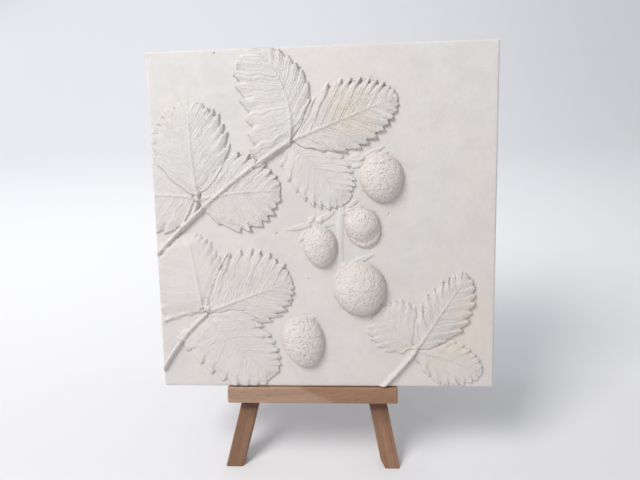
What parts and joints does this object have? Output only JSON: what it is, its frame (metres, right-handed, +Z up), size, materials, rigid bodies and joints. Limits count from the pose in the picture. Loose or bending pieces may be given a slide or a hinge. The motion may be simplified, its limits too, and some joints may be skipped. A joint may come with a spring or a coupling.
{
  "type": "plaster wall tile",
  "caption": "Square plaster wall tile cast with strawberry leaves, stems and berries in relief, leaning on a small beech table easel whose rear leg folds flat.",
  "frame": {"origin": "on the table, under the middle of the overall box", "axes": "+Z up, +X to the right across the tile as seen from the front, +Y away from the viewer, towards the rear leg"},
  "size_m": [0.2, 0.1177, 0.2574],
  "materials": {
    "plaster": "matt cast plaster, warm off-white",
    "beech": "oiled beech, satin",
    "steel": "plain drawn wire"
  },
  "bodies": {
    "easel_and_tile": {"plaster_tile": "plaster", "ledge": "beech", "front_leg_left": "beech", "front_leg_right": "beech", "head_block": "beech", "hinge_pin": "steel"},
    "rear_leg": {"rear_leg": "beech"}
  },
  "joints": [
    {"name": "rear_leg_hinge", "type": "hinge", "parent": "easel_and_tile", "child": "rear_leg", "pos_m": [-0.00235, 0.01503, 0.17238], "axis": [1, 0, 0], "range_deg": [-28, 0]}
  ]
}
